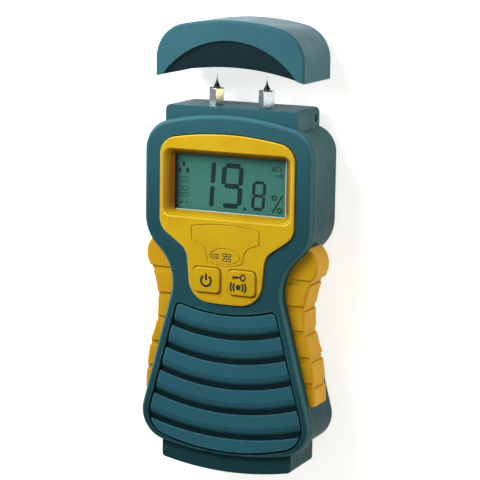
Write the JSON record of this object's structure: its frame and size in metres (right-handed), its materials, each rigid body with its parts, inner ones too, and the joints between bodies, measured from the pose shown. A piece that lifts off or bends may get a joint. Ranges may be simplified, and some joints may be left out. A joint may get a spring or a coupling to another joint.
{
  "type": "moisture meter",
  "caption": "Handheld pin-type moisture meter with a lift-off cap over its needles, a display, push buttons, ridged front, rubber side grips and a sliding battery door.",
  "frame": {"origin": "point on the flat back at the waist of the housing, on the plane of symmetry", "axes": "+X across the width to the right of the display, +Y along the pins, +Z out of the display; the meter lies on its back"},
  "size_m": [0.0722, 0.176, 0.032],
  "materials": {
    "teal_housing": "fine moulded texture, dark teal",
    "teal_cap": "fine moulded texture, dark teal",
    "teal_panel": "fine moulded texture, dark teal",
    "yellow_plastic": "satin moulded yellow",
    "yellow_button": "satin moulded yellow",
    "yellow_rubber": "soft matt yellow rubber",
    "clear_window": "clear polished acrylic",
    "display_glass": "grey-green display glass",
    "black_foam": "black foam rubber",
    "black_plastic": "black moulded plastic",
    "white_plastic": "white moulded plastic",
    "green_board": "solder-masked circuit board",
    "component_ceramic": "small brown ceramic parts",
    "brass": "turned brass",
    "nickel": "bright nickel plate",
    "needle_steel": "ground steel",
    "screw_steel": "zinc-plated steel",
    "battery_jacket": "printed steel jacket, plain",
    "label_film": "blank silver film"
  },
  "bodies": {
    "meter": {"front_housing": "teal_housing", "rear_housing": "teal_housing", "nose_block": "teal_housing", "ridged_panel": "teal_panel", "bezel": "yellow_plastic", "left_grip": "yellow_rubber", "right_grip": "yellow_rubber", "lcd_window": "clear_window", "window_gasket": "black_foam", "lcd_glass": "display_glass", "lcd_frame": "black_plastic", "zebra_strips": "black_foam", "circuit_board": "green_board", "controller_chip": "black_plastic", "buzzer": "black_plastic", "board_components": "component_ceramic", "power_switch": "black_plastic", "hold_switch": "black_plastic", "left_socket": "brass", "right_socket": "brass", "left_collar": "nickel", "right_collar": "nickel", "left_needle": "needle_steel", "right_needle": "needle_steel", "socket_strips": "brass", "battery": "battery_jacket", "battery_terminals": "nickel", "contact_snaps": "nickel", "contact_block": "black_plastic", "contact_straps": "brass", "housing_screws": "screw_steel", "board_screws": "screw_steel", "rating_label": "label_film"},
    "cap": {"cap": "teal_cap"},
    "battery_door": {"battery_door": "teal_housing"},
    "power_button": {"power_button": "yellow_button", "power_plunger": "white_plastic"},
    "hold_button": {"hold_button": "yellow_button", "hold_plunger": "white_plastic"}
  },
  "joints": [
    {"name": "cap_slide", "type": "slide", "parent": "meter", "child": "cap", "axis": [0, 1, 0], "range_m": [-0.0177, 0.02]},
    {"name": "battery_door_slide", "type": "slide", "parent": "meter", "child": "battery_door", "axis": [0, -1, 0], "range_m": [0, 0.06]},
    {"name": "power_button_press", "type": "slide", "parent": "meter", "child": "power_button", "axis": [0, 0, -1], "range_m": [0, 0.0008], "stiffness_N_per_m": 600},
    {"name": "hold_button_press", "type": "slide", "parent": "meter", "child": "hold_button", "axis": [0, 0, -1], "range_m": [0, 0.0008], "stiffness_N_per_m": 600}
  ]
}
